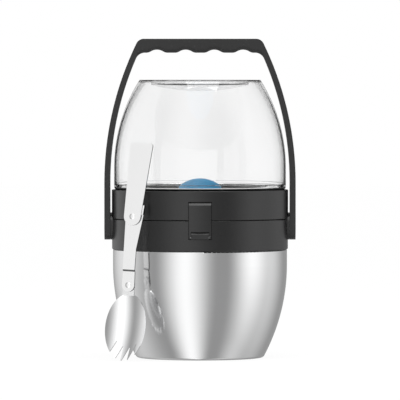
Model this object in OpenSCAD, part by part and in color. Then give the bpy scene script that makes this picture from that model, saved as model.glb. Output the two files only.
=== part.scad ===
// Insulated food jar: a double-walled steel barrel, a hinged lid between two collars, a clear bowl that
// stands mouth down on the lid, a bail handle, a front latch, a vent button and a folding spork.
//
// Frame: millimetres, +Z up, origin at the centre of the flat base, front of the jar towards -Y.
// Profiles of round pieces are drawn with x as the radius and y as the height.

/* [Steel barrel] */
// Outside radius at the widest place
barrel_r = 62.7; // [60:0.1:66]
// Height of the shoulder that carries the lower collar
barrel_h = 78; // [72:0.5:90]
// Height above which the side is straight
belly_z = 67; // [58:0.5:70]
// Radius of the curve of the side, seen from the front
barrel_bend = 140; // [120:1:200]
// Rounding of the foot
foot_bend = 3; // [2:0.1:5]
// Thickness of the steel sheet
steel_t = 0.8; // [0.5:0.05:1.2]
// Distance between the outsides of the barrel and of the food vessel
wall_inset = 8.9; // [8.4:0.1:13]
// Height of the vessel's underside over the table
liner_z = 8; // [6:0.5:14]
// Rounding of the vessel's lower corner, outside
liner_corner = 12; // [6:0.5:18]
// Width of the gap between the two walls at the mouth
mouth_gap = 3; // [2:0.1:3.4]
// Height of the neck above the shoulder
neck_h = 20.4; // [16:0.1:21]
// Distance between the barrel's side and the edge of the bottom plate, where it shows
base_inset = 24.7; // [22.7:0.1:32]
// Width of the bottom plate's edge that lies on the turned-in foot
base_lap = 3; // [2:0.1:5]
// Radius of the disc that closes the evacuation hole
vacuum_r = 5; // [3:0.5:8]
// Thickness of that disc
vacuum_t = 1.2; // [0.8:0.1:2]

/* [Collars] */
// How far the lower collar stands out from the barrel
collar_proud = 0.65; // [0.3:0.05:1.5]
// Height of the lower collar
collar_h = 22; // [21:0.5:28]
// How far the upper collar stands out from the lower one
lid_proud = 0.15; // [0:0.05:1]
// Height of the upper collar
lid_h = 21; // [20:0.5:26]
// Width of the seam between the collars
seam = 0.3; // [0.2:0.05:0.6]
// Height from the seam to the floor plate's underside
floor_rise = 12; // [11.5:0.1:13]
// Thickness of the floor plate
floor_t = 2; // [1.6:0.1:2.5]
// Height of the boss round the stem, under the floor plate
boss_h = 3; // [2:0.1:4]
// Rounding of the collars' outer edges
collar_edge = 0.6; // [0.3:0.1:1]

/* [Stopper] */
// How far the plug's underside hangs below the seam
plug_depth = 14; // [12:0.5:20]
// Gap between the plug and the vessel's wall
plug_gap = 1.4; // [0.8:0.1:2]
// Wall of the plug
plug_t = 1.6; // [1.2:0.1:2]
// Height of the plug's gasket over the plug's underside
plug_seal_up = 6; // [5:0.5:8]
// Height of the plug's gasket
plug_seal_h = 4; // [3:0.5:5]

/* [Clear bowl] */
// How far the straight part of the bowl stands in from the upper collar's side
bowl_inset = 1.6; // [1.5:0.1:2.6]
// Height of the bowl above its lip
bowl_h = 77.3; // [66:0.1:90]
// Height of the straight part above the lip
bowl_straight = 13.8; // [8:0.1:20]
// Radius of the curve of the side, seen from the front
bowl_bend = 119; // [110:1:160]
// How far the bowl's skirt stands in from its side
skirt_inset = 3.3; // [2.1:0.1:3.5]
// Wall of the bowl
bowl_t = 1.3; // [1.1:0.1:2]
// Radius of the dish in the bowl's foot
dish_r = 34; // [26:0.5:38]
// Depth of the dish at its edge
dish_edge = 2.8; // [1.5:0.1:4]
// Depth of the dish at its centre
dish_depth = 7; // [5:0.1:9]
// Thickness of the thick foot of the wall, at the lip
lip_t = 2.2; // [1.5:0.1:3]
// Thickness of the gasket under the lip
gasket_t = 1.5; // [0.5:0.1:2]
// How much narrower the gasket is at its underside
gasket_flare = 1.2; // [0.4:0.1:1.4]
// Number of bayonet lugs
lug_n = 4; // [3:1:5]
// Arc of one lug, in degrees
lug_arc = 30; // [20:1:32]

/* [Vent button] */
// Radius of the dome's ball
dome_ball = 22; // [20:0.1:28]
// Height of the dome's straight skirt over the floor plate
dome_skirt = 4; // [3.5:0.1:5]
// Height of the dome above its skirt
dome_h = 10.5; // [8:0.1:12]
// Wall of the dome
dome_t = 1.6; // [1.2:0.1:2]
// Radius of the stem
stem_r = 2; // [1.6:0.1:2.4]
// Travel of the button
vent_travel = 2; // [1:0.1:2]
// Radius of the spring's wire
wire_r = 0.5; // [0.3:0.05:0.6]
// Mean radius of the spring
coil_r = 6; // [5:0.1:8]
// Turns of the spring
coil_n = 5; // [3:1:6]

/* [Bail handle] */
// Thickness of the arms, seen from the front
arm_t = 4.15; // [3:0.05:5]
// Height above the pivots where the arms start to close in
arm_straight = 31.3; // [20:0.1:40]
// Radius of the curve of the arms' outer side
arm_bend = 229; // [210:1:300]
// Radius of the arms' round ends
arm_end = 9.8; // [8:0.1:10.4]
// Half the width of the handle at the grip, front to back
grip_half = 6.5; // [5:0.1:8]
// Gap for the fingers between the bowl and the grip
hand_gap = 19.5; // [15:0.5:40]
// Height of the grip over its lobes
grip_h = 10; // [8:0.5:14]
// Rounding of the handle's outer corners
bail_corner = 6; // [4:0.5:8]
// Rounding of the opening's upper corners
palm_corner = 7; // [3:0.5:8]
// Number of finger scallops
finger_n = 4; // [3:1:4]
// Distance between the opening's side and the row of scallops
finger_margin = 2.9; // [2:0.1:6]
// Depth of the scallops
finger_depth = 2.2; // [1:0.1:3]
// How far the front face of the grip ends above the scalloped edge
grip_step = 2.2; // [1:0.1:3]
// Depth of that step
grip_step_in = 1; // [0.5:0.1:2]
// Drop of the pivots below the seam
pivot_drop = 5.3; // [4:0.1:6]
// Radius of the pivot studs
stud_r = 3; // [2:0.1:4]
// Thickness of the ears that hold the studs
ear_t = 3.2; // [2.5:0.1:3.4]

/* [Latch] */
// Width of the latch
latch_w = 15.8; // [14:0.1:20]
// Height of the latch above the seam
latch_up = 13.1; // [12.5:0.1:14]
// Reach of the latch below the seam
latch_down = 13.1; // [12:0.1:14]
// Thickness of the latch
latch_t = 2.3; // [2:0.1:2.6]
// How far the latch stands out from the upper collar
latch_proud = 0.6; // [0.3:0.1:1]
// Distance from the latch's top to the top of its hook's room
hook_drop = 4.6; // [4:0.1:6]
// Width of each leg of the latch
leg_w = 1.4; // [1.2:0.1:3]
// Height of the notch between the legs
notch_h = 5.2; // [4.5:0.1:6]
// Radius of the latch's pin
latch_pin_r = 0.7; // [0.5:0.05:0.8]

/* [Lid hinge] */
// Radius of the knuckles
knuckle_r = 3.2; // [2.6:0.1:4]
// Length of the whole hinge
hinge_len = 28; // [22:1:40]
// Length of the middle knuckle
knuckle_mid = 13.8; // [10:0.1:18]
// Distance from the neck to the root of the knuckles' webs
web_root = 3; // [2:0.1:4]
// Radius of the hinge pin
hinge_pin_r = 1.2; // [0.8:0.1:1.5]

/* [Spork] */
// Thickness of its steel
plate_t = 1.2; // [0.8:0.1:1.5]
// Distance of the lower rivet's line from the middle of the jar, to the left
spork_left = 29.6; // [27:0.1:36]
// Yaw of the spork about the vertical, in degrees
spork_yaw = 20; // [10:1:30]
// Lean of the spork towards the jar, in degrees
spork_lean = 5.6; // [4:0.1:6]
// Length from the lower rivet to the middle tine's tip
fork_len = 54; // [48:0.1:60]
// Length from the lower rivet to the start of the bowl
fork_neck = 6; // [5:0.1:8]
// Width of the spork's bowl
fork_w = 30; // [26:0.1:33]
// Depth of the spork's bowl under its side edges
fork_depth = 4.8; // [3.5:0.1:5.2]
// How far the spork's bowl bulges behind its neck
fork_back = 4.4; // [4:0.1:5]
// Distance from the lower rivet to the deepest place of the bowl
fork_deep = 33; // [28:0.5:36]
// Distance between the tines
tine_pitch = 5.1; // [4:0.1:5.5]
// Lean of the notches between the tines, in degrees
tine_lean = 11; // [0:1:20]
// Half width of the notches between the tines, at the bowl's edge
notch_w = 2; // [1:0.1:2.1]
// Length of the notches
notch_len = 10.3; // [5:0.1:12]
// Lean of the bowl in the spork's plane, in degrees
fork_angle = 1.4; // [0:0.1:6]
// Turn of the bowl about its middle, in degrees
fork_turn = 6.3; // [0:0.1:8]
// How far the middle of the bowl lies to the left of its neck's line
fork_shift = 0.9; // [0:0.1:2]
// Distance between the rivets
link_len = 48.8; // [46:0.1:54]
// Half width of the link at its lower end
link_low = 4.7; // [3.5:0.1:5]
// Half width of the link at the upper rivet, on the left
link_high = 5.4; // [4.5:0.1:6]
// Height above the lower rivet where the link's right side starts to widen
link_flare = 26; // [20:0.5:32]
// Lean of the link in the spork's plane, in degrees
link_angle = 2.6; // [0:0.1:6]
// Length of the link above the upper rivet
link_over = 8.2; // [6:0.1:9]
// Height of the link's crimp above the lower rivet
crimp_z = 10.3; // [8:0.1:16]
// How far the link steps back below its crimp
crimp_step = 0.9; // [0.8:0.1:1.5]
// Length of the grip plate above its rivet
tang_len = 52.7; // [46:0.1:60]
// Half width of the grip plate at its rivet
tang_low = 6.3; // [5:0.1:6.6]
// Half width of the grip plate at its top
tang_high = 8.5; // [6:0.1:9]
// Lean of the grip plate in the spork's plane, in degrees
tang_angle = 6; // [4:0.1:9]
// Slant of the grip plate's top edge, in degrees
tang_slant = 4; // [0:0.1:8]
// Radius of the rivets' shanks
rivet_r = 1.4; // [1:0.1:1.8]
// Radius of the rivets' heads
head_r = 2.1; // [1.9:0.1:3]
// Height of the rivets' heads
head_t = 0.6; // [0.3:0.05:0.7]

/* [Clearances] */
// Gap round pieces that turn or slide past each other
loose = 0.35; // [0.3:0.05:0.4]
// Radial gap of a pin in its bore
run = 0.05; // [0.02:0.01:0.09]
// Gap of pieces that are fixed in each other
snug = 0.02; // [0.01:0.01:0.05]

/* [Hidden] */
$fn = 96;

charcoal = "#3b3b3c";
steel = "#c9cacb";
far = 300;

// Radii and heights of the barrel and its neck
liner_out = barrel_r - wall_inset;
liner_r = liner_out - steel_t;
base_r = barrel_r - base_inset;
neck_r = liner_out + mouth_gap + steel_t;
neck_top = barrel_h + neck_h - steel_t;

// Collars
collar_r = barrel_r + collar_proud;
collar_in = neck_r + snug;
lid_r = collar_r + lid_proud;
seam_z = barrel_h + collar_h;
collar_top = seam_z - seam / 2;
lid_low = seam_z + seam / 2;
lid_top = seam_z + lid_h;
floor_low = seam_z + floor_rise;
floor_top = floor_low + floor_t;
shelf_r = collar_in + 0.7;

// Bayonet between the clear bowl and the upper collar
bowl_r = lid_r - bowl_inset;
skirt_r = bowl_r - skirt_inset;
skirt_t = bowl_t - 0.2;
ledge_r = skirt_r + loose;
lug_r = skirt_r + 0.9;
socket_r = lug_r + 0.4;
ledge_z = lid_top - 2.8;
ledge_t = 1.2;
lug_t = 1.6;
lug_z = ledge_z - loose - lug_t;
skirt_z = lug_z - 0.8;
lug_half = lug_arc / 2;
ledge_half = lug_half + 2;

// Clear bowl
lip_z = lid_top + gasket_t + 0.2;
lip_round = 0.2;
gasket_r = bowl_r - 0.2;
bowl_top = lip_z + bowl_h;
bowl_bend_z = lip_z + bowl_straight;
dish_rise = dish_depth - dish_edge;
dish_ball = (dish_r * dish_r + dish_rise * dish_rise) / (2 * dish_rise);

// Stopper
plug_r = liner_r - plug_gap;
plug_low = seam_z - plug_depth;
seal_z = plug_low + plug_seal_up;
seal_groove = plug_t / 2;
tube_in = stem_r + 1;
tube_out = tube_in + 1.2;

// Vent
skirt_top = floor_top + dome_skirt;
dome_z = skirt_top + dome_h - dome_ball;
dome_lip = 0.1;
dome_base = dome_lip + sqrt(dome_ball * dome_ball - (skirt_top - dome_z) * (skirt_top - dome_z));
dome_low = floor_top + vent_travel + 0.6;
well_r = dome_base + loose;
well_t = 1.5;
poppet_r = 4.6;
poppet_t = 1.4;
poppet_z = plug_low - loose - poppet_t;
barb_r = stem_r + 0.3;
barb_in = stem_r - 0.4;
hole_r = stem_r + 0.6;
spring_z = floor_top + wire_r + 0.1;
spring_top = dome_z + sqrt(pow(dome_ball - dome_t, 2) - pow(coil_r + wire_r, 2)) - wire_r - 0.1;
wire_sides = 8;
turn_rings = 14;

// Handle
pivot_z = seam_z - pivot_drop;
ear_out = lid_r + 1;
ear_in = ear_out - ear_t;
arm_in = ear_out + 0.15;
arm_out = arm_in + arm_t;
arm_bend_z = pivot_z + arm_straight;
arm_bend_x = arm_out - arm_bend;
grip_low = bowl_top + hand_gap;
grip_top = grip_low + grip_h;
palm_half = arm_bend_x + sqrt(pow(arm_bend - arm_t, 2) - pow(grip_low - arm_bend_z, 2));
finger_pitch = 2 * (palm_half - finger_margin) / finger_n;
finger_r = 8.5;
lobe_r = 6;
hair = 0.004;
stud_head_r = stud_r + 2;
stud_head_t = 1.6;

// Latch
latch_out = lid_r + latch_proud;
latch_in = latch_out - latch_t;
latch_top = seam_z + latch_up;
latch_low = seam_z - latch_down;
latch_half = latch_w / 2;
lug_gap = 0.2;
lug_half_w = latch_half - leg_w - lug_gap;
latch_round = latch_t / 2;
latch_pin_z = latch_low + latch_round;
leg_mid = latch_half - leg_w / 2;
latch_pin_y = -sqrt(pow(latch_out - latch_round, 2) - leg_mid * leg_mid);
pocket_r = latch_in - loose;
hook_deep = 1.1;
hook_h = 1.8;
hook_z = latch_top - hook_drop;

// Lid hinge
hinge_y = lid_r + knuckle_r + loose;
knuckle_gap = 0.3;

// Spork: plates in layers, each in front of the last, and the rivets' places over the table
layer_gap = 0.1;
fork_tip_z = 0.3;
low_front = 2 * plate_t + layer_gap;
link_front = low_front + crimp_step;
tang_front = link_front + plate_t + layer_gap;
rivet_low_z = fork_tip_z + fork_len * cos(fork_angle);
rivet_high_z = rivet_low_z + link_len * cos(link_angle);
rivet_high_u = link_len * sin(link_angle) - spork_left;
link_top = link_len + link_over;
tab_h = 6.7;
tine_n = 5;
fork_mid = (fork_len + fork_neck) / 2;

// Distance from the jar's axis at which a plate's back face clears a round of radius r, when its right
// edge is at u. It is taken at height z, and brought down along the lean to the table.
function stand_off(r, u, z, back) = sqrt(r * r - u * u) + loose - back + z * tan(spork_lean);
function tang_edge(up) = rivet_high_u + up * tan(tang_angle)
    + (tang_low + (tang_high - tang_low) * up / tang_len) / cos(tang_angle);
tang_back = tang_front - plate_t;

// Right edge of the grip plate, in the link's own frame, at a height above the upper rivet
function grip_edge(up) = up * tan(tang_angle - link_angle)
    + (tang_low + (tang_high - tang_low) * up / tang_len) / cos(tang_angle - link_angle);
tab_low = grip_edge(link_over) + 0.3;
tab_high = tab_low + plate_t;
tab_foot = grip_edge(link_over - tab_h) + 0.3;
tang_top_z = rivet_high_z + tang_len;
bowl_r_there = bowl_r - bowl_bend + sqrt(bowl_bend * bowl_bend - pow(tang_top_z - bowl_bend_z, 2));
tab_z = rivet_low_z + link_top;
spork_back = max(stand_off(lid_r, tang_edge(lid_top - rivet_high_z), lid_top, tang_back),
    stand_off(bowl_r_there, tang_edge(tang_len), tang_top_z, tang_back),
    stand_off(lid_r, rivet_high_u + tab_high + 0.5, tab_z, link_front - plate_t));

// ---------- helpers ----------

// Waste outside a rounding of radius r about c, between the directions a0 and a1
module corner_waste(c, r, a0, a1) {
    mid = (a0 + a1) / 2;
    translate(c) difference() {
        polygon([[0, 0], 2 * r * [cos(a0), sin(a0)], 3 * r * [cos(mid), sin(mid)],
            2 * r * [cos(a1), sin(a1)]]);
        circle(r);
    }
}

// Rectangle from one corner to the other
module span(low, high) {
    translate(low) square(high - low);
}

// Box from one corner to the other
module block(low, high) {
    translate(low) cube(high - low);
}

// Ring of a rectangular section
module ring(r_in, r_out, z_low, z_high) {
    rotate_extrude() span([r_in, z_low], [r_out, z_high]);
}

// Rod along X
module rod_x(r, x_low, x_high, y, z) {
    translate([x_low, y, z]) rotate([0, 90, 0]) cylinder(h = x_high - x_low, r = r);
}

// Front view extruded along Y
module front_slab(y_low, y_high) {
    translate([0, y_high, 0]) rotate([90, 0, 0]) linear_extrude(y_high - y_low) children();
}

// Side view, drawn with y across and z up, extruded along X
module side_slab(x_low, x_high) {
    translate([x_low, 0, 0]) rotate([90, 0, 90]) linear_extrude(x_high - x_low) children();
}

// Profile of the barrel, drawn inwards by inset and standing on floor_z with a rounded lower corner
module barrel_profile(inset, floor_z, corner, top) {
    r_side = barrel_bend - inset;
    bend = [barrel_r - barrel_bend, belly_z];
    centre_z = floor_z + corner;
    centre = [bend[0] + sqrt(pow(r_side - corner, 2) - pow(belly_z - centre_z, 2)), centre_z];
    difference() {
        intersection() {
            span([0, floor_z], [barrel_r - inset, top]);
            union() {
                translate(bend) circle(r_side);
                span([0, belly_z], [barrel_r, top]);
            }
        }
        corner_waste(centre, corner, -90, atan2(centre_z - belly_z, centre[0] - bend[0]));
    }
}

// ---------- jar ----------

module outer_shell() {
    color(steel) rotate_extrude() difference() {
        union() {
            barrel_profile(0, 0, foot_bend, barrel_h);
            span([0, belly_z], [neck_r, neck_top]);
        }
        barrel_profile(steel_t, steel_t, foot_bend - steel_t, barrel_h - steel_t);
        span([0, belly_z], [neck_r - steel_t, far]);
        span([0, -1], [base_r, foot_bend]);
        corner_waste([barrel_r - steel_t, barrel_h - steel_t], steel_t, 0, 90);
    }
}

module inner_liner() {
    color(steel) rotate_extrude() difference() {
        union() {
            barrel_profile(wall_inset, liner_z, liner_corner, neck_top);
            span([0, neck_top], [neck_r, neck_top + steel_t]);
        }
        barrel_profile(wall_inset + steel_t, liner_z + steel_t, liner_corner - steel_t, far);
    }
}

// The bottom plate lies inside the turned-in foot and is flush with it underneath
module base_disc() {
    color(steel) rotate_extrude() {
        span([0, 0], [base_r - snug, steel_t]);
        span([0, steel_t], [base_r + base_lap, 2 * steel_t]);
    }
}

module vacuum_seal() {
    color("silver") translate([0, 0, 2 * steel_t]) cylinder(h = vacuum_t, r = vacuum_r);
}

// Round pocket in the lower collar's side, open to the seam, in which an ear of the lid lies
module ear_pocket() {
    pocket_x = ear_in - loose;
    pocket_half = arm_end + loose;
    rod_x(pocket_half, pocket_x, far, 0, pivot_z);
    block([pocket_x, -pocket_half, pivot_z], [far, pocket_half, lid_low]);
}

// Pocket for the latch, across both collars
module latch_pocket(r_floor, z_low, z_high) {
    half = latch_half + loose;
    difference() {
        block([-half, -far, z_low], [half, 0, z_high]);
        translate([0, 0, z_low - 1]) cylinder(h = z_high - z_low + 2, r = r_floor);
    }
}

// Knuckle with the web that ties it to its collar
module knuckle(x_low, x_high, web_low, web_high) {
    rod_x(knuckle_r, x_low, x_high, hinge_y, seam_z);
    block([x_low, collar_in + web_root, web_low], [x_high, hinge_y, web_high]);
}

module lower_collar() {
    outer_x = hinge_len / 2;
    inner_x = knuckle_mid / 2 + knuckle_gap;
    lug_top = latch_low + notch_h - 2 * lug_gap;
    lug_y = latch_out - 0.3;
    color(charcoal) difference() {
        union() {
            difference() {
                rotate_extrude() difference() {
                    span([collar_in, barrel_h], [collar_r, collar_top]);
                    corner_waste([collar_r - 1, barrel_h + 1], 1, -90, 0);
                    corner_waste([collar_r - collar_edge, collar_top - collar_edge], collar_edge, 0, 90);
                }
                for (side = [0, 180]) rotate([0, 0, side]) ear_pocket();
                latch_pocket(pocket_r, latch_low - loose, far);
            }
            side_slab(-lug_half_w, lug_half_w) polygon([[-collar_in - 1, latch_low], [-lug_y, latch_low],
                [-lug_y, lug_top - 1.3], [-lug_y + 0.8, lug_top], [-collar_in - 1, lug_top]]);
            for (x = [-outer_x, inner_x])
                knuckle(x, x + outer_x - inner_x, seam_z - knuckle_r, collar_top);
        }
        rod_x(latch_pin_r + snug, -latch_half, latch_half, latch_pin_y, latch_pin_z);
        rod_x(hinge_pin_r + snug, -far, far, hinge_y, seam_z);
    }
}

module hinge_pin() {
    color("silver") rod_x(hinge_pin_r, -hinge_len / 2, hinge_len / 2, hinge_y, seam_z);
}

module latch_pin() {
    reach = latch_half - 0.3;
    color("silver") rod_x(latch_pin_r, -reach, reach, latch_pin_y, latch_pin_z);
}

// ---------- lid ----------

// Arc of a ring, centred on each bayonet place
module arcs(r_in, r_out, z_low, z_high, half) {
    for (i = [0:lug_n - 1]) rotate([0, 0, (i + 0.5) * 360 / lug_n - half])
        rotate_extrude(angle = 2 * half) span([r_in, z_low], [r_out, z_high]);
}

module upper_collar() {
    mid = knuckle_mid / 2;
    color(charcoal) difference() {
        union() {
            difference() {
                rotate_extrude() difference() {
                    span([shelf_r, lid_low], [lid_r, lid_top]);
                    span([0, floor_low], [socket_r, far]);
                    corner_waste([lid_r - collar_edge, lid_low + collar_edge], collar_edge, -90, 0);
                    corner_waste([lid_r - collar_edge, lid_top - collar_edge], collar_edge, 0, 90);
                }
                latch_pocket(pocket_r, 0, latch_top + loose);
                latch_pocket(pocket_r - hook_deep, hook_z - loose, latch_top + loose);
            }
            arcs(ledge_r, socket_r + 0.5, ledge_z, ledge_z + ledge_t, ledge_half);
            for (side = [0, 180]) rotate([0, 0, side]) rod_x(arm_end, ear_in, ear_out, 0, pivot_z);
            knuckle(-mid, mid, lid_low, seam_z + knuckle_r);
        }
        rod_x(stud_r + snug, -far, far, 0, pivot_z);
        rod_x(hinge_pin_r + run, -mid - 1, mid + 1, hinge_y, seam_z);
    }
}

// Floor of the upper compartment, with the well that guides the vent button
module lid_plate() {
    color(charcoal) rotate_extrude() {
        span([stem_r + run, floor_low], [socket_r - snug, floor_top]);
        span([well_r, floor_top], [well_r + well_t, skirt_top]);
        span([stem_r + run, floor_low - boss_h], [tube_out, floor_low]);
    }
}

module stopper_cup() {
    tube_top = floor_low - boss_h - 0.1;
    flange_r = shelf_r - 0.3;
    color("#4a4a4c") rotate_extrude() difference() {
        union() {
            span([hole_r, plug_low], [plug_r, floor_low]);
            span([plug_r, floor_low - plug_t], [flange_r, floor_low]);
        }
        span([tube_out, plug_low + plug_t], [plug_r - plug_t, floor_low + 1]);
        span([0, tube_top], [plug_r - plug_t, floor_low + 1]);
        span([0, plug_low + plug_t], [tube_in, floor_low + 1]);
        span([plug_r - seal_groove, seal_z], [far, seal_z + plug_seal_h]);
        corner_waste([plug_r - plug_t, plug_low + plug_t], plug_t, -90, 0);
    }
}

module stopper_foam() {
    gap = 0.3;
    color("#e8e2d0") ring(tube_out + gap, plug_r - plug_t - gap, plug_low + plug_t + 0.05, floor_low - 0.3);
}

module stopper_gasket() {
    color("#d9dcdd") rotate_extrude() {
        span([plug_r - seal_groove + snug, seal_z + 0.05], [plug_r + 0.3, seal_z + plug_seal_h - 0.05]);
        span([plug_r, seal_z + 1], [liner_r - loose, seal_z + plug_seal_h - 1]);
    }
}

// The gasket lies on the collar's rim and widens upwards, under the bowl's lip
module bowl_gasket() {
    color("#161617") rotate_extrude() polygon([[socket_r, lid_top], [gasket_r - gasket_flare, lid_top],
        [gasket_r, lid_top + gasket_t * 0.7], [gasket_r, lid_top + gasket_t], [socket_r, lid_top + gasket_t]]);
}

// Stud with a flush head outside the arm, screwed into the ear
module handle_pivots() {
    head_x = arm_out - 0.3;
    color("silver") for (side = [0, 180]) rotate([0, 0, side]) {
        rod_x(stud_r, ear_in + 0.3, head_x - stud_head_t, 0, pivot_z);
        rod_x(stud_head_r, head_x - stud_head_t, head_x, 0, pivot_z);
    }
}

// ---------- handle ----------

// Region between the arms' curved sides, drawn inwards by inset, up to top with rounded corners.
// Seen from the front, x is the width and y is the height. The corners' rounds cross the sides by a hair,
// because two rounds that only touch leave an edge too short to close.
module bail_profile(inset, top, corner) {
    r_side = arm_bend - inset;
    centre_z = top - corner;
    centre = [arm_bend_x + sqrt(pow(r_side - corner, 2) - pow(centre_z - arm_bend_z, 2)), centre_z];
    difference() {
        intersection() {
            span([-arm_out + inset, 0], [arm_out - inset, top]);
            intersection_for(half = [0, 1]) mirror([half, 0, 0]) union() {
                span([-arm_out, 0], [arm_out, arm_bend_z]);
                translate([arm_bend_x, arm_bend_z]) circle(r_side);
            }
        }
        for (half = [0, 1]) mirror([half, 0, 0])
            corner_waste(centre, corner + hair, atan2(centre_z - arm_bend_z, centre[0] - arm_bend_x), 90);
    }
}

// One finger scallop: a hollow of radius finger_r that runs into the lobes beside it
module scallop() {
    dip = grip_low + finger_depth - finger_r;
    lobe_z = grip_low + lobe_r;
    lobe_x = sqrt(pow(finger_r + lobe_r, 2) - pow(lobe_z - dip, 2));
    meet = [lobe_x, lobe_z - dip] * finger_r / (finger_r + lobe_r);
    difference() {
        polygon([[-lobe_x, grip_low - 1], [-lobe_x, grip_low], [-meet[0], dip + meet[1]],
            [meet[0], dip + meet[1]], [lobe_x, grip_low], [lobe_x, grip_low - 1]]);
        for (side = [-1, 1]) translate([side * lobe_x, lobe_z]) circle(lobe_r);
    }
    intersection() {
        translate([0, dip]) circle(finger_r);
        span([-lobe_x, grip_low - 1], [lobe_x, far]);
    }
}

// Opening of the bail: the space between the arms and under the scalloped grip
module palm_opening() {
    bail_profile(arm_t, grip_low, palm_corner);
    for (i = [0:finger_n - 1]) translate([(i - (finger_n - 1) / 2) * finger_pitch, 0]) scallop();
}

// Side view of the handle: round ends at the pivots, narrower towards the grip
module bail_side() {
    translate([0, pivot_z]) circle(arm_end);
    polygon([[-arm_end, pivot_z], [arm_end, pivot_z], [grip_half, grip_top + 1], [-grip_half, grip_top + 1]]);
}

module bail_handle() {
    step_y = grip_half - grip_step_in;
    step_x = bail_corner + palm_corner;
    head_x = arm_out - 0.3 - stud_head_t - 0.1;
    color(charcoal) difference() {
        intersection() {
            front_slab(-arm_end, arm_end) difference() {
                bail_profile(0, grip_top, bail_corner);
                palm_opening();
            }
            side_slab(-far, far) bail_side();
        }
        for (side = [0, 1]) mirror([0, side, 0]) front_slab(step_y, arm_end + 1) intersection() {
            translate([0, grip_step]) palm_opening();
            span([-arm_out + arm_t + step_x, grip_low - 1], [arm_out - arm_t - step_x, far]);
        }
        rod_x(stud_r + run, -far, far, 0, pivot_z);
        for (side = [0, 180]) rotate([0, 0, side]) rod_x(stud_head_r + loose, head_x, far, 0, pivot_z);
    }
}

// ---------- latch ----------

module latch() {
    edge_h = 2.1;
    edge_in = 1.4;
    color(charcoal) difference() {
        union() {
            intersection() {
                rotate_extrude() polygon([[latch_in, latch_pin_z], [latch_out, latch_pin_z],
                    [latch_out, latch_top - edge_h], [latch_out - edge_in, latch_top], [latch_in, latch_top]]);
                block([-latch_half, -far, 0], [latch_half, 0, far]);
            }
            intersection() {
                ring(latch_in - hook_deep + loose, latch_in + 0.5, hook_z, hook_z + hook_h);
                block([-latch_half + 1.5, -far, 0], [latch_half - 1.5, 0, far]);
            }
            for (x = [-latch_half, latch_half - leg_w])
                rod_x(latch_round, x, x + leg_w, latch_pin_y, latch_pin_z);
        }
        block([-latch_half + leg_w, -far, 0], [latch_half - leg_w, 0, latch_low + notch_h]);
        rod_x(latch_pin_r + run, -far, far, latch_pin_y, latch_pin_z);
    }
}

// ---------- clear bowl ----------

// Dish in the foot, widened by e
module dish_profile(e) {
    intersection() {
        span([0, 0], [dish_r + e, far]);
        translate([0, bowl_top - dish_depth + dish_ball]) circle(dish_ball + e, $fn = 192);
    }
}

// Outside of the bowl, drawn inwards by inset, with a rounded rim
module bowl_profile(inset, corner) {
    r_side = bowl_bend - inset;
    bend = [bowl_r - bowl_bend, bowl_bend_z];
    centre_z = bowl_top - inset - corner;
    centre = [bend[0] + sqrt(pow(r_side - corner, 2) - pow(centre_z - bowl_bend_z, 2)), centre_z];
    difference() {
        intersection() {
            span([0, lip_z], [bowl_r - inset, bowl_top - inset]);
            union() {
                translate(bend) circle(r_side);
                span([0, 0], [bowl_r, bowl_bend_z]);
            }
        }
        corner_waste(centre, corner, atan2(centre_z - bowl_bend_z, centre[0] - bend[0]), 90);
    }
}

module clear_bowl() {
    color([0.9, 0.95, 1, 0.35]) union() {
        rotate_extrude() {
            difference() {
                union() {
                    difference() {
                        bowl_profile(0, 1);
                        dish_profile(0);
                        difference() {
                            bowl_profile(bowl_t, 2);
                            dish_profile(bowl_t);
                        }
                    }
                    span([skirt_r - skirt_t, lip_z], [bowl_r, lip_z + lip_t]);
                }
                corner_waste([bowl_r - lip_round, lip_z + lip_round], lip_round, -90, 0);
            }
            span([skirt_r - skirt_t, skirt_z], [skirt_r, lip_z + 0.5]);
        }
        arcs(skirt_r - skirt_t / 2, lug_r, lug_z, lug_z + lug_t, lug_half);
    }
}

// ---------- vent ----------

module vent_button() {
    dome_in = dome_ball - dome_t;
    color("#4694c8") rotate_extrude() {
        difference() {
            union() {
                intersection() {
                    translate([0, dome_z]) circle(dome_ball);
                    span([0, skirt_top], [far, far]);
                }
                span([0, dome_low], [dome_base, skirt_top]);
            }
            intersection() {
                translate([0, dome_z]) circle(dome_in);
                span([0, 0], [dome_base - dome_t, far]);
            }
        }
        span([0, poppet_z + poppet_t], [stem_r, dome_z + dome_in + dome_t / 2]);
        span([0, poppet_z], [barb_in, poppet_z + poppet_t]);
        span([0, poppet_z - 1], [barb_r, poppet_z]);
    }
}

// Coil swept along a helix as rings of wire_sides points
module vent_spring() {
    rings = coil_n * turn_rings;
    height = spring_top - spring_z;
    points = [for (i = [0:rings]) for (k = [0:wire_sides - 1])
        let (turn = 360 * i / turn_rings, side = 360 * k / wire_sides, r = coil_r + wire_r * cos(side))
        [r * cos(turn), r * sin(turn), spring_z + height * i / rings + wire_r * sin(side)]];
    walls = [for (i = [0:rings - 1]) for (k = [0:wire_sides - 1])
        let (a = i * wire_sides + k, b = i * wire_sides + (k + 1) % wire_sides)
        [a, a + wire_sides, b + wire_sides, b]];
    first_end = [for (k = [0:wire_sides - 1]) k];
    last_end = [for (k = [wire_sides - 1:-1:0]) rings * wire_sides + k];
    color("silver") polyhedron(points, concat([first_end, last_end], walls));
}

module vent_seal() {
    color("#d9dcdd") ring(barb_in + snug, poppet_r, poppet_z, poppet_z + poppet_t);
}

// ---------- spork ----------

// Puts a piece that is drawn at the lower rivet, in the plane y = 0, where the spork stands.
// The front of the spork is towards -Y, and its layers lie in front of the plane.
module at_spork() {
    rotate([0, 0, -spork_yaw]) translate([-spork_left, -spork_back, 0]) rotate([-spork_lean, 0, 0])
        translate([0, 0, rivet_low_z]) children();
}

// Puts a piece that is drawn at the origin on the upper rivet
module at_upper_rivet() {
    rotate([0, link_angle, 0]) translate([0, 0, link_len]) rotate([0, -link_angle, 0]) children();
}

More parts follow.
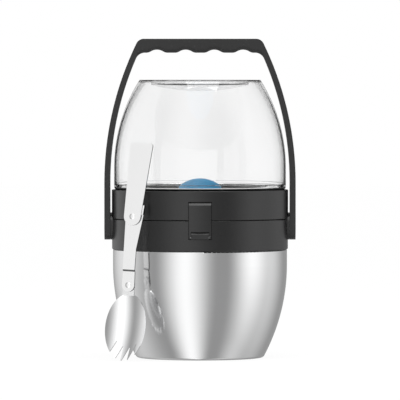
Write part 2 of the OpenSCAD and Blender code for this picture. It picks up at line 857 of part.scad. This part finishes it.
// Plate from its front distance back by its thickness, out of a front view
module plate(front) {
    front_slab(-front, -front + plate_t) children();
}

module tang_profile() {
    corner = 2.5;
    corner_x = tang_high - corner;
    slant = tan(tang_slant);
    difference() {
        union() {
            circle(tang_low);
            polygon([[-tang_low, 0], [tang_low, 0], [tang_high, tang_len + tang_high * slant],
                [-tang_high, tang_len - tang_high * slant]]);
        }
        for (side = [-1, 1]) mirror([side < 0 ? 1 : 0, 0])
            corner_waste([corner_x, tang_len + side * corner_x * slant - corner / cos(tang_slant)],
                corner, 0, 90 + side * tang_slant);
        circle(rivet_r + run);
    }
}

module spork_grip() {
    color(steel) at_spork() at_upper_rivet() rotate([0, tang_angle, 0]) plate(tang_front) tang_profile();
}

// The link, whose right side widens upwards until it reaches past the grip plate
module link_profile() {
    waist = link_low - 0.4;
    difference() {
        union() {
            circle(link_low);
            polygon([[-link_low, 0], [-link_low, crimp_z], [-link_high, link_len], [-link_high, link_top],
                [tab_high, link_top], [tab_foot + plate_t, link_top - tab_h], [waist, link_flare],
                [waist, crimp_z], [link_low, 0]]);
        }
        circle(rivet_r + snug);
        translate([0, link_len]) circle(rivet_r + snug);
    }
}

// The link steps back at its crimp, and its bent tab stops the grip plate when the spork is open
module spork_link() {
    low_back = plate_t + layer_gap;
    high_back = low_back + crimp_step;
    ramp = crimp_step * 0.7;
    color(steel) at_spork() rotate([0, link_angle, 0]) {
        intersection() {
            front_slab(-link_front, 0) link_profile();
            side_slab(-far, far) polygon([[-low_back, -far], [-low_back, crimp_z - ramp],
                [-high_back, crimp_z + ramp], [-high_back, far], [-link_front, far],
                [-link_front, crimp_z + ramp], [-low_front, crimp_z - ramp], [-low_front, -far]]);
        }
        front_slab(-tang_front, -high_back) polygon([[tab_foot, link_top - tab_h], [tab_low, link_top],
            [tab_high, link_top], [tab_foot + plate_t, link_top - tab_h]]);
    }
}

// Outline of the spork's bowl with its tines, seen from the front with the lower rivet at the origin
module fork_outline() {
    half = fork_w / 2;
    long = fork_mid - fork_neck;
    flare = [1.4 * notch_w, -2 * notch_w];
    notch = [[-flare[0], flare[1]], [-0.4, notch_len - 0.6], [0, notch_len], [0.4, notch_len - 0.6], flare];
    translate([0, -fork_mid]) difference() {
        polygon([for (a = [0:6:354]) [half * cos(a), long * sin(a)]]);
        for (i = [0:tine_n - 2]) let (x = (i - (tine_n - 2) / 2) * tine_pitch)
            translate([x, -long * sqrt(1 - pow(x / half, 2))]) rotate(-tine_lean) polygon(notch);
    }
}

// Dish of the spork's bowl: a round of radius fork_across over the width, swept along a longer round
module fork_dish() {
    half = fork_w / 2;
    across = (half * half + fork_depth * fork_depth) / (2 * fork_depth);
    run_up = fork_deep - fork_neck;
    along = (run_up * run_up + fork_back * fork_back) / (2 * fork_back);
    deep_front = fork_back - plate_t;
    translate([0, deep_front - along, -fork_deep]) rotate([0, 90, 0]) rotate_extrude() difference() {
        translate([along - across, 0]) circle(across + plate_t);
        translate([along - across, 0]) circle(across);
        span([-far, -far], [along - across, far]);
    }
}

module spork_bowl() {
    color(steel) at_spork() rotate([0, fork_angle, 0]) {
        plate(plate_t) difference() {
            union() {
                circle(link_low);
                span([0.4 - link_low, -fork_neck - 1.5], [link_low - 0.4, 0]);
            }
            circle(rivet_r + run);
        }
        translate([-fork_shift, 0, -fork_mid]) rotate([0, fork_turn, 0]) translate([0, 0, fork_mid])
            intersection() {
                fork_dish();
                front_slab(-fork_depth - 2, fork_back + 1) fork_outline();
            }
    }
}

// Lower rivet, with heads before the link and behind the bowl's neck, and upper rivet, flush behind
module spork_rivets() {
    color("silver") at_spork() {
        front_slab(-low_front - head_t, head_t) circle(rivet_r);
        front_slab(-low_front - head_t, -low_front - snug) circle(head_r);
        front_slab(snug, head_t) circle(head_r);
        at_upper_rivet() {
            front_slab(-tang_front - head_t, plate_t - link_front) circle(rivet_r);
            front_slab(-tang_front - head_t, -tang_front - snug) circle(head_r);
        }
    }
}

outer_shell();
inner_liner();
base_disc();
vacuum_seal();
lower_collar();
hinge_pin();
latch_pin();
upper_collar();
lid_plate();
stopper_cup();
stopper_foam();
stopper_gasket();
bowl_gasket();
handle_pivots();
bail_handle();
latch();
clear_bowl();
vent_button();
vent_spring();
vent_seal();
spork_grip();
spork_link();
spork_bowl();
spork_rivets();
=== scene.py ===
import math

import bmesh
import bpy
import numpy as np
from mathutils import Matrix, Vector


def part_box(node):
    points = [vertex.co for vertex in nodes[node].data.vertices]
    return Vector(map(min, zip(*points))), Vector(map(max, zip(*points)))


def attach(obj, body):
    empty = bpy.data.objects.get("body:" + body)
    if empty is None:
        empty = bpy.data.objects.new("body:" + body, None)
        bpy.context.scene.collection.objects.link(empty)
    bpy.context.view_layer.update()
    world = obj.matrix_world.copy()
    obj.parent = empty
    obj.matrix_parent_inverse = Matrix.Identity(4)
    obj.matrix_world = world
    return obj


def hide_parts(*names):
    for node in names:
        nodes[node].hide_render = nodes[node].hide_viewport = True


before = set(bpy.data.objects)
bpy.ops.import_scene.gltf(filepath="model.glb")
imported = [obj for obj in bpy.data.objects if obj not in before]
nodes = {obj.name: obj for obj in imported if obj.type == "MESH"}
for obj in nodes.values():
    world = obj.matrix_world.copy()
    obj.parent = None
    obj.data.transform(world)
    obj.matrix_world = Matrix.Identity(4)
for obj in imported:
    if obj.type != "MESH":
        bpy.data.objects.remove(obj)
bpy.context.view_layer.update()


# ---- Studio: camera ----
# A long lens in front of the jar, a little above its clear bowl's rim, looking slightly down.
camera_y = -3.7
camera_z = 0.2002
picture_width = 0.2882  # metres that the picture is wide at the jar's axis
aim_z = 0.1134
lens = bpy.data.cameras.new("camera")
lens.sensor_width = 36.0
lens.lens = lens.sensor_width * -camera_y / picture_width
lens.clip_start = 0.1
lens.clip_end = 100.0
camera = bpy.data.objects.new("camera", lens)
camera.location = (0.0, camera_y, camera_z)
camera.rotation_euler = (math.pi / 2 - math.atan((camera_z - aim_z) / -camera_y), 0.0, 0.0)
bpy.context.scene.collection.objects.link(camera)
bpy.context.scene.camera = camera
bpy.context.scene.view_settings.view_transform = "Standard"


# ---- Studio: surroundings ----
# A white tent all round the jar, lit by four tall soft boxes with dimmer gaps between them. Overhead it
# is evenly bright, and it shows as plain white in the picture and through the clear bowl.
def node(tree, kind, inputs=None, **settings):
    """Adds a node to a tree; an input is a value, or the output socket of another node."""
    made = tree.nodes.new("ShaderNode" + kind)
    for name, value in settings.items():
        setattr(made, name, value)
    for name, value in (inputs or {}).items():
        if isinstance(value, bpy.types.NodeSocket):
            tree.links.new(value, made.inputs[name])
        else:
            made.inputs[name].default_value = value
    return made


# Soft boxes: (middle in degrees, half width in degrees, brightness over the tent's own glow).
# 0 degrees is where the camera stands and 90 is the right side.
soft_boxes = [(-20, 45, 0.90), (70, 35, 0.85), (105, 45, 0.50), (-120, 60, 0.60)]
front_half = 45  # degrees from the front past which a box stands at the side
tent_glow = 0.35
floorward_share = 0.6  # of a side box's brightness that is gone towards the floor
# Below, directions are told by how far they point up or back: 1 is straight up, or straight back.
floorward_full = -0.65
overhead_glow, overhead_first, overhead_full = (1.1, 1.1, 1.1, 1.0), 0.55, 0.9
behind_first, behind_full = 0.80, 0.97
white = (1.0, 1.0, 1.0, 1.0)

world = bpy.data.worlds.new("tent")
bpy.context.scene.world = world
world.use_nodes = True
tree = world.node_tree
tree.nodes.clear()
direction = node(tree, "TexCoord").outputs["Generated"]
part = node(tree, "SeparateXYZ", {"Vector": direction})
toward = node(tree, "Math", {0: part.outputs["Y"], 1: -1.0}, operation="MULTIPLY")
angle = node(tree, "Math", {0: part.outputs["X"], 1: toward.outputs[0]}, operation="ARCTAN2")
floorward = node(tree, "MapRange", {"Value": part.outputs["Z"], "From Min": 0.0,
                                    "From Max": floorward_full}).outputs[0]
tent_light = tent_glow
for middle, half_width, brightness in soft_boxes:
    away = node(tree, "Math", {0: angle.outputs[0], 1: math.radians(middle)}, operation="SUBTRACT").outputs[0]
    away = node(tree, "Math", {0: away, 1: -math.pi, 2: math.pi}, operation="WRAP").outputs[0]
    away = node(tree, "Math", {0: away}, operation="ABSOLUTE").outputs[0]
    box = node(tree, "MapRange", {"Value": away, "From Min": math.radians(half_width), "From Max": 0.0,
                                  "To Max": brightness}, interpolation_type="SMOOTHSTEP").outputs[0]
    if abs(middle) > front_half:
        kept = node(tree, "MapRange", {"Value": floorward, "To Min": 1.0,
                                       "To Max": 1.0 - floorward_share}).outputs[0]
        box = node(tree, "Math", {0: box, 1: kept}, operation="MULTIPLY").outputs[0]
    tent_light = node(tree, "Math", {0: tent_light, 1: box}, operation="ADD").outputs[0]
bands = node(tree, "CombineXYZ", {"X": tent_light, "Y": tent_light, "Z": tent_light}).outputs[0]
height = node(tree, "MapRange", {"Value": part.outputs["Z"], "From Min": overhead_first,
                                 "From Max": overhead_full})
overhead = node(tree, "Mix", {"Factor": height.outputs[0], "A": bands, "B": overhead_glow}, data_type="RGBA")
walls = node(tree, "Background", {"Color": overhead.outputs["Result"], "Strength": 1.0})
ray = node(tree, "LightPath")
behind = node(tree, "MapRange", {"Value": part.outputs["Y"], "From Min": behind_first,
                                 "From Max": behind_full})
through = node(tree, "Math", {0: ray.outputs["Is Transmission Ray"], 1: behind.outputs[0]},
               operation="MULTIPLY")
white_share = node(tree, "Math", {0: ray.outputs["Is Camera Ray"], 1: through.outputs[0]},
                   operation="MAXIMUM")
backdrop = node(tree, "Background", {"Color": white, "Strength": 1.0})
shown = node(tree, "MixShader", {0: white_share.outputs[0], 1: walls.outputs[0], 2: backdrop.outputs[0]})
node(tree, "OutputWorld", {"Surface": shown.outputs[0]})


# ---- Studio: floor ----
# A wide white table. It shows nearly as white as the tent, with a trace of the jar's shadow left in it,
# and what is mirrored in polished steel sees through it to the tent.
def from_grid(name, points, closed=False):
    """Mesh object from an array of points [rows, columns, 3]: each cell of the grid is one face. A closed
    grid joins its last column to its first."""
    rows, columns = points.shape[:2]
    index = np.arange(rows * columns).reshape(rows, columns)
    if closed:
        index = np.hstack([index, index[:, :1]])
    faces = np.stack([index[:-1, :-1], index[:-1, 1:], index[1:, 1:], index[1:, :-1]], -1).reshape(-1, 4)
    mesh = bpy.data.meshes.new(name)
    mesh.from_pydata(points.reshape(-1, 3).tolist(), [], faces.tolist())
    mesh.update()
    made = bpy.data.objects.new(name, mesh)
    bpy.context.scene.collection.objects.link(made)
    return made


floor_half = 6.0
floor_drop = 0.0002  # under the jar's foot
table_paint = (0.85, 0.85, 0.85, 1.0)
table_white_share = 0.88  # of its own colour that plain white covers, and the rest takes the shadow
table_white_strength = 1.03

side = np.linspace(-floor_half, floor_half, 3)
floor = from_grid("floor", np.stack(np.meshgrid(side, side) + [np.full((3, 3), -floor_drop)], -1))
table = bpy.data.materials.new("white_table")
table.use_nodes = True
tree = table.node_tree
paint = tree.nodes["Principled BSDF"]
paint.inputs["Base Color"].default_value = table_paint
paint.inputs["Roughness"].default_value = 0.9
paint.inputs["Specular IOR Level"].default_value = 0.0
ray = node(tree, "LightPath")
seen = node(tree, "Math", {0: ray.outputs["Is Camera Ray"], 1: ray.outputs["Is Transmission Ray"]},
            operation="MAXIMUM")
share = node(tree, "Math", {0: seen.outputs[0], 1: table_white_share}, operation="MULTIPLY")
plain = node(tree, "Emission", {"Color": white, "Strength": table_white_strength})
mixed = node(tree, "MixShader", {0: share.outputs[0], 1: paint.outputs[0], 2: plain.outputs[0]})
tent_seen = node(tree, "MixShader", {0: ray.outputs["Is Glossy Ray"], 1: mixed.outputs[0],
                                     2: node(tree, "BsdfTransparent").outputs[0]})
tree.links.new(tent_seen.outputs[0], tree.nodes["Material Output"].inputs["Surface"])
floor.data.materials.append(table)


# ---- Studio: top light ----
# One large soft lamp over the jar, a little in front of it and tilted back towards it. It lays the
# faint shadow on the table.
lamp = bpy.data.lights.new("top_light", "AREA")
lamp.shape = "RECTANGLE"
lamp.size = 1.2
lamp.size_y = 0.9
lamp.energy = 9.0
top_light = bpy.data.objects.new("top_light", lamp)
top_light.location = (0.1, -0.5, 1.5)
top_light.rotation_euler = (math.radians(-20), 0.0, 0.0)
bpy.context.scene.collection.objects.link(top_light)


# ---- Steel barrel ----
# The outer wall and the bottom plate are stainless steel. They are spun to shape, welded, and brushed
# round the axis, so their highlights are drawn out upright.
relief_depth = 0.0001  # the most that brush strokes and moulded grain stand up


def principled(name, values):
    """Material with one Principled shader that has these fixed values."""
    made = bpy.data.materials.new(name)
    made.use_nodes = True
    for socket, value in values.items():
        made.node_tree.nodes["Principled BSDF"].inputs[socket].default_value = value
    return made


def feed(material, **sources):
    """Joins outputs to the Principled shader's sockets; an underscore in a name stands for a space."""
    shader = material.node_tree.nodes["Principled BSDF"]
    for socket, output in sources.items():
        material.node_tree.links.new(output, shader.inputs[socket.replace("_", " ")])


def between(tree, factor, low, high):
    """Colour or number between low and high, by factor."""
    if isinstance(low, tuple):
        return node(tree, "Mix", {"Factor": factor, "A": (*low, 1.0), "B": (*high, 1.0)},
                    data_type="RGBA").outputs["Result"]
    return node(tree, "MapRange", {"Value": factor, "To Min": low, "To Max": high}).outputs[0]


def brushed(name, dark, light, roughness, stroke, anisotropy, relief):
    """Brushed steel: noise that is long along the brush strokes sets its tone, roughness and relief.
    The strokes run along the tangent, and the reflections are drawn out across them."""
    made = principled(name, {"Metallic": 1.0, "Anisotropic": anisotropy, "Anisotropic Rotation": 0.25})
    tree = made.node_tree
    place = node(tree, "TexCoord").outputs["Object"]
    along = node(tree, "Mapping", {"Vector": place, "Scale": stroke}).outputs[0]
    lines = node(tree, "TexNoise", {"Vector": along, "Scale": 1.0, "Detail": 5.0,
                                    "Roughness": 0.65}).outputs[0]
    cloud = node(tree, "TexNoise", {"Vector": place, "Scale": 22.0, "Detail": 3.0}).outputs[0]
    tone = node(tree, "Math", {0: lines, 1: cloud}, operation="ADD").outputs[0]
    tone = node(tree, "MapRange", {"Value": tone, "From Min": 0.6, "From Max": 1.4}).outputs[0]
    bump = node(tree, "Bump", {"Height": lines, "Strength": relief, "Distance": relief_depth})
    feed(made, Base_Color=between(tree, tone, dark, light), Roughness=between(tree, lines, *roughness),
         Normal=bump.outputs[0])
    return made


def dress(name, material):
    """Gives a CAD node its material."""
    mesh = nodes[name].data
    mesh.materials.clear()
    mesh.materials.append(material)


round_steel = brushed("barrel_steel", (0.775, 0.777, 0.78), (0.815, 0.817, 0.82), (0.10, 0.15),
                      (30.0, 30.0, 2600.0), 0.3, 0.05)
round_the_axis = node(round_steel.node_tree, "Tangent", direction_type="RADIAL", axis="Z")
feed(round_steel, Tangent=round_the_axis.outputs[0])
dress("outer_shell", round_steel)
dress("base_disc", round_steel)


# ---- Food vessel ----
# The inner wall of the jar, deep drawn from steel and welded to the outer one at the mouth. It is left
# with a satin finish, duller than the barrel's.
satin_steel = brushed("vessel_steel", (0.62, 0.625, 0.63), (0.74, 0.745, 0.75), (0.28, 0.38),
                      (60.0, 60.0, 1500.0), 0.3, 0.1)
dress("inner_liner", satin_steel)


# ---- Pins, studs and spring ----
# Small steel parts: hinge pin, latch pin and the handle's two studs are turned from rod, the vent's
# spring is wound from wire, and a disc closes the hole through which the double wall was emptied.
rod_steel = brushed("rod_steel", (0.50, 0.505, 0.51), (0.66, 0.665, 0.67), (0.22, 0.36),
                    (900.0, 900.0, 900.0), 0.0, 0.1)
for name in ("hinge_pin", "latch_pin", "handle_pivots", "vacuum_seal", "vent_spring"):
    dress(name, rod_steel)


# ---- Charcoal mouldings ----
# Both collars and the lid's floor are injection moulded in charcoal plastic, in tools with a fine
# spark-eroded grain. Handle and latch are of the same plastic, and come after them.
def moulded(name, dark, light, roughness, grain, relief):
    """Moulded plastic: a fine grain in its relief and roughness, and a faint unevenness of its colour."""
    made = principled(name, {"Metallic": 0.0, "IOR": 1.5})
    tree = made.node_tree
    place = node(tree, "TexCoord").outputs["Object"]
    fine = node(tree, "TexNoise", {"Vector": place, "Scale": grain, "Detail": 2.0}).outputs[0]
    cloud = node(tree, "TexNoise", {"Vector": place, "Scale": 30.0, "Detail": 4.0}).outputs[0]
    bump = node(tree, "Bump", {"Height": fine, "Strength": relief, "Distance": relief_depth})
    feed(made, Base_Color=between(tree, cloud, dark, light), Roughness=between(tree, fine, *roughness),
         Normal=bump.outputs[0])
    return made


charcoal = moulded("charcoal", (0.011, 0.011, 0.0112), (0.018, 0.018, 0.0183), (0.24, 0.36), 1800.0, 0.12)
for name in ("lower_collar", "upper_collar", "lid_plate"):
    dress(name, charcoal)


# ---- Bail handle ----
# One moulding in the collars' plastic, hung on its two studs. Its upper edges are well rounded for the
# hand, and its other edges a little.
def read(items, key, width=1, kind=float):
    """One property of a mesh's points, edges, faces or corners, as an array with a row for each."""
    values = np.empty(len(items) * width, kind)
    items.foreach_get(key, values)
    return values.reshape(-1, width) if width > 1 else values


def softened(name, body, material, rounding, steps=3):
    """Stands in for a CAD node with rounded edges: its mesh, merged and freed of the seams in its flat
    faces, whose outer edges sharper than sharp_edge are bevelled by rounding(middle of the edge) metres.
    An edge is an outer one if the second face's middle lies behind the plane of the first face."""
    same_point, same_plane, sharp_edge = 2e-6, math.radians(0.4), math.radians(28)
    form = bmesh.new()
    form.from_mesh(nodes[name].data)
    bmesh.ops.remove_doubles(form, verts=form.verts, dist=same_point)
    bmesh.ops.dissolve_limit(form, angle_limit=same_plane, verts=form.verts, edges=form.edges)
    mesh = bpy.data.meshes.new(name + "_soft")
    form.to_mesh(mesh)
    form.free()
    for layer in ("custom_normal", "sharp_edge", "sharp_face"):
        if layer in mesh.attributes:
            mesh.attributes.remove(mesh.attributes[layer])
    mesh.polygons.foreach_set("use_smooth", np.ones(len(mesh.polygons), bool))
    normals = read(mesh.polygons, "normal", 3)
    centres = read(mesh.polygons, "center", 3)
    face_of = np.repeat(np.arange(len(normals)), read(mesh.polygons, "loop_total", kind=int))
    by_edge = np.argsort(read(mesh.loops, "edge_index", kind=int), kind="stable")
    first, second = face_of[by_edge].reshape(-1, 2).T
    turn = np.arccos(np.clip((normals[first] * normals[second]).sum(1), -1, 1))
    outward = ((centres[second] - centres[first]) * normals[first]).sum(1) < 0
    middles = read(mesh.vertices, "co", 3)[read(mesh.edges, "vertices", 2, int)].mean(1)
    widths = np.where((turn > sharp_edge) & outward, rounding(middles), 0.0)
    creases = mesh.attributes.new("sharp_edge", "BOOLEAN", "EDGE")
    creases.data.foreach_set("value", (turn > sharp_edge) & ~outward)
    weights = mesh.attributes.new("bevel_weight_edge", "FLOAT", "EDGE")
    weights.data.foreach_set("value", widths / widths.max())
    made = bpy.data.objects.new(name + "_soft", mesh)
    bpy.context.scene.collection.objects.link(made)
    bevel = made.modifiers.new("rounding", "BEVEL")
    bevel.limit_method = "WEIGHT"
    bevel.width = widths.max()
    bevel.segments = steps
    bevel.harden_normals = True
    mesh.materials.append(material)
    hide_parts(name)
    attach(made, body)
    return made


def handle_rounding(middles):
    """0.5 mm, which grows to 2 mm between 14 mm and 6 mm under the grip's top and stays so above."""
    least, most, starts, grows_over = 0.0005, 0.002, 0.014, 0.008
    below_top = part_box("bail_handle")[1][2] - middles[:, 2]
    return least + (most - least) * np.clip((starts - below_top) / grows_over, 0, 1)


softened("bail_handle", "handle", charcoal, handle_rounding, steps=4)


# ---- Latch ----
# The front clip, in the same plastic. It turns on its steel pin in the lower collar's lug, and snaps
# over the upper collar. Its edges are broken a little, as the tool leaves them.
def even(width):
    """The same rounding on every edge."""
    return lambda middles: np.full(len(middles), width)


softened("latch", "latch", charcoal, even(0.00035))


# ---- Stopper ----
# The plug that enters the mouth: a moulded cup filled with foam, with a silicone ring in its groove.
# The vent's poppet is of the same silicone, and a black rubber ring seals the clear bowl above.
cup_plastic = moulded("stopper_plastic", (0.045, 0.045, 0.047), (0.06, 0.06, 0.062), (0.35, 0.5), 1500.0, 0.1)
dress("stopper_cup", cup_plastic)
foam = moulded("foam", (0.62, 0.58, 0.46), (0.80, 0.76, 0.64), (0.8, 0.95), 900.0, 0.9)
dress("stopper_foam", foam)
silicone = moulded("silicone", (0.55, 0.57, 0.58), (0.62, 0.64, 0.65), (0.4, 0.5), 1200.0, 0.1)
dress("stopper_gasket", silicone)
dress("vent_seal", silicone)
rubber = moulded("black_rubber", (0.006, 0.006, 0.006), (0.01, 0.01, 0.01), (0.5, 0.65), 1500.0, 0.2)
dress("bowl_gasket", rubber)


# ---- Vent button ----
# A soft blue silicone dome moulded on its stem. Pressed down, it opens the poppet and lets air in
# before the lid is lifted.
blue = moulded("blue_silicone", (0.002, 0.29, 0.58), (0.004, 0.33, 0.65), (0.45, 0.55), 1500.0, 0.06)
dress("vent_button", blue)


# ---- Clear bowl ----
# The upper compartment, moulded of clear copolyester with polished walls, mouth down. Its skirt and four
# lugs turn into the upper collar's bayonet, and its top has a shallow dish, as the foot of a bowl has.
def arc(centre, radius, first, last, count):
    """Points (r, z) on a circle, centre + radius * (cos a, sin a), for a from first to last degrees."""
    angles = np.radians(np.linspace(first, last, count))
    return np.stack([centre[0] + radius * np.cos(angles), centre[1] + radius * np.sin(angles)], -1)


def turned(name, profile, segments, extra=0.0):
    """Surface turned round the z axis: (r cos a, r sin a, z) for each (r, z) of the profile and angle a,
    with extra[row, angle] added to r. The rows on the axis close to single points."""
    angles = np.arange(segments) * 2 * math.pi / segments
    radius = profile[:, :1] + extra
    height = np.broadcast_to(profile[:, 1:], (len(profile), segments))
    made = from_grid(name, np.stack([radius * np.cos(angles), radius * np.sin(angles), height], -1),
                     closed=True)
    form = bmesh.new()
    form.from_mesh(made.data)
    bmesh.ops.remove_doubles(form, verts=form.verts, dist=1e-8)
    bmesh.ops.recalc_face_normals(form, faces=form.faces)
    form.to_mesh(made.data)
    form.free()
    made.data.polygons.foreach_set("use_smooth", np.ones(len(made.data.polygons), bool))
    return made


def bowl_side(inset, fillet, count):
    """One side of the bowl's wall, from its straight foot up the bend and round into its flat top. The
    fillet's circle touches the bend's from inside, and the flat top from below."""
    radius = bend_r - inset
    fillet_z = bowl_top - inset - fillet
    fillet_x = bend_x + math.sqrt((radius - fillet) ** 2 - (fillet_z - bend_z) ** 2)
    touch = math.degrees(math.atan2(fillet_z - bend_z, fillet_x - bend_x))
    return np.vstack([arc((bend_x, bend_z), radius, 0.0, touch, count)[:-1],
                      arc((fillet_x, fillet_z), fillet, touch, 90.0, 12)])


def dish(extra, count):
    """The dish from the axis out to the foot of its upright edge: an arc of the ball's circle, which is
    wider by extra on the inside of the wall."""
    ball = dish_ball + extra
    reach = math.degrees(math.asin((dish_r + extra) / ball))
    return arc((0.0, bowl_top - dish_depth + dish_ball), ball, -90.0, reach - 90.0, count)


bowl_low, bowl_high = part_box("clear_bowl")
bowl_r, bowl_top, skirt_z = bowl_high[0], bowl_high[2], bowl_low[2]
wall = 0.0013
edge, small = 0.0006, 0.0003  # radii of the dish's edges, and of the lip's and skirt's
outer_fillet, inner_fillet = 0.001, 0.002
lip_z, lip_top = 0.1227, 0.1249
bend_z, bend_r = 0.1365, 0.119
bend_x = bowl_r - bend_r
dish_r, dish_depth, dish_edge = 0.034, 0.007, 0.0028
dish_rise = dish_depth - dish_edge
dish_ball = (dish_r ** 2 + dish_rise ** 2) / (2 * dish_rise)
skirt_r = bowl_r - 0.0033
skirt_in = skirt_r - 0.0011
lug_low, lug_high = skirt_z + 0.0008, skirt_z + 0.0024
lug_out, lug_half, lug_end = 0.0009, 15.0, 0.8  # metres, then degrees
lug_face = 0.0001  # height over which a lug's upper and lower faces rise
outside = np.vstack([dish(0.0, 40), arc((dish_r + edge, bowl_top - edge), edge, 180.0, 90.0, 8),
                     bowl_side(0.0, outer_fillet, 90)[::-1],
                     arc((bowl_r - small, lip_z + small), small, 0.0, -90.0, 6), [(skirt_r, lip_z)]])
lug = np.array([(skirt_r, lug_high + lug_face), (skirt_r, lug_high),
                (skirt_r, lug_low), (skirt_r, lug_low - lug_face)])
foot = np.vstack([arc((skirt_r - small, skirt_z + small), small, 0.0, -90.0, 5),
                  arc((skirt_in + small, skirt_z + small), small, -90.0, -180.0, 5)])
inside = np.vstack([arc((skirt_in + small, lip_top - small), small, 180.0, 90.0, 5),
                    arc((bowl_r - wall - small, lip_top + small), small, -90.0, 0.0, 5),
                    bowl_side(wall, inner_fillet, 90),
                    arc((dish_r + wall + edge, bowl_top - wall - edge), edge, 90.0, 180.0, 8),
                    dish(wall, 40)[::-1]])
bowl_line = np.vstack([outside, lug, foot, inside])
segments = 288
degrees = np.arange(segments) * 360.0 / segments
from_lug = np.abs((degrees % 90.0) - 45.0)
lug_shape = np.clip((lug_half - from_lug) / lug_end + 0.5, 0.0, 1.0) * lug_out
stands_out = np.zeros((len(bowl_line), segments))
stands_out[len(outside) + 1:len(outside) + 3] = lug_shape
clear_bowl = turned("clear_bowl_turned", bowl_line, segments, stands_out)
clear = principled("clear_plastic", {"Base Color": (0.975, 0.976, 0.977, 1.0), "IOR": 1.5,
                                     "Transmission Weight": 1.0})
tree = clear.node_tree
place = node(tree, "TexCoord").outputs["Object"]
haze = node(tree, "TexNoise", {"Vector": place, "Scale": 60.0, "Detail": 4.0}).outputs[0]
feed(clear, Roughness=between(tree, haze, 0.0, 0.012))
clear_bowl.data.materials.append(clear)
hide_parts("clear_bowl")
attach(clear_bowl, "bowl")


# ---- Spork plates ----
# Grip and link are blanked from polished sheet and deburred, and the link is crimped once, so that it
# lies flat on the bowl's neck. Painted shade darkens the colour of their edge faces and of the crimp's
# slopes.
def face_areas(mesh):
    """Area of each face."""
    return read(mesh.polygons, "area")


def mark_painted_shade(mesh):
    """Gives each face an attribute of painted shade, from how level it lies with the plate's largest face
    (the cosine of the angle between them): 1 on the edge faces, up to slope_dark on slopes, and 0 on flat
    faces."""
    cut_level, flat_level, slope_range, slope_dark = 0.5, 0.95, 0.14, 0.72
    normals = read(mesh.polygons, "normal", 3)
    level = np.abs(normals @ normals[np.argmax(face_areas(mesh))])
    slope = np.clip((flat_level - level) / slope_range, 0.0, slope_dark)
    painted_shade = mesh.attributes.new("painted_shade", "FLOAT", "FACE")
    painted_shade.data.foreach_set("value", np.where(level < cut_level, 1.0, slope))


spork_steel = brushed("spork_steel", (0.98, 0.98, 0.98), (1.0, 1.0, 1.0), (0.08, 0.12),
                      (700.0, 700.0, 60.0), 0.0, 0.02)
tree = spork_steel.node_tree
polished = tree.nodes["Principled BSDF"].inputs["Base Color"].links[0].from_socket
# Painted shade: the attribute mixes the polished tone towards near black on the edge faces and crimp slopes.
shade_amount = node(tree, "Attribute", attribute_name="painted_shade").outputs["Fac"]
painted_shade_tone = node(tree, "Mix", {"Factor": shade_amount, "A": polished, "B": (0.04, 0.04, 0.042, 1.0)}, data_type="RGBA")
feed(spork_steel, Base_Color=painted_shade_tone.outputs["Result"])
for name in ("spork_grip", "spork_link"):
    mark_painted_shade(softened(name, name, spork_steel, even(0.0002)).data)


# ---- Spork rivets ----
# Two steel rivets, turned and set, with low domed heads, on which grip and bowl fold over the link. The
# upper one's far end is ground flush.
head_r, shank_r, head_t = 0.0021, 0.0014, 0.00057
crown, end_chamfer = 0.00028, 0.0002
plates_face = np.array([-0.34, -0.94, 0.0])  # roughly

points = read(nodes["spork_rivets"].data.vertices, "co", 3)
grip = nodes["spork_grip"].data
face_normals = read(grip.polygons, "normal", 3)
toward_front = face_normals @ plates_face > 0.9
rivet_axis = (face_normals * (face_areas(grip) * toward_front)[:, None]).sum(0)
rivet_axis /= np.linalg.norm(rivet_axis)
across = np.cross((0.0, 0.0, 1.0), rivet_axis)
across /= np.linalg.norm(across)
upward = np.cross(rivet_axis, across)
upper = points[:, 2] > points[:, 2].mean()
dome_r = np.linspace(0.0, head_r, 12)
dome_h = crown * (dome_r / head_r) ** 4
for at, group in enumerate((upper, ~upper)):
    along, right, high = (points[group] @ axis for axis in (rivet_axis, across, upward))
    base, top = along.min(), along.max()
    if at == 0:
        far_end = np.array([(0.0, base), (shank_r - end_chamfer, base), (shank_r, base + end_chamfer)])
    else:
        far_end = np.vstack([np.stack([dome_r, base + dome_h], -1),
                             [(head_r, base + head_t), (shank_r, base + head_t)]])
    profile = np.vstack([far_end, [(shank_r, top - head_t), (head_r, top - head_t)],
                         np.stack([dome_r, top - dome_h], -1)[::-1]])
    middle = across * (right.min() + right.max()) / 2 + upward * (high.min() + high.max()) / 2
    rivet = turned(f"rivet_{at}", profile, 48)
    placed = middle + read(rivet.data.vertices, "co", 3) @ np.stack([across, upward, rivet_axis])
    rivet.data.vertices.foreach_set("co", placed.ravel())
    rivet.data.update()
    rivet.data.set_sharp_from_angle(angle=math.radians(40))
    rivet.data.materials.append(spork_steel)
    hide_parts("spork_rivets")
    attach(rivet, "spork_link")


# ---- Spork bowl ----
# Pressed from the same sheet, with five tines ground into its front edge. Its polish is a little duller
# than the plates', as pressing leaves it.
bowl_steel = brushed("fork_steel", (0.88, 0.882, 0.885), (0.94, 0.942, 0.945), (0.10, 0.14),
                     (700.0, 700.0, 60.0), 0.0, 0.02)
dress("spork_bowl", bowl_steel)
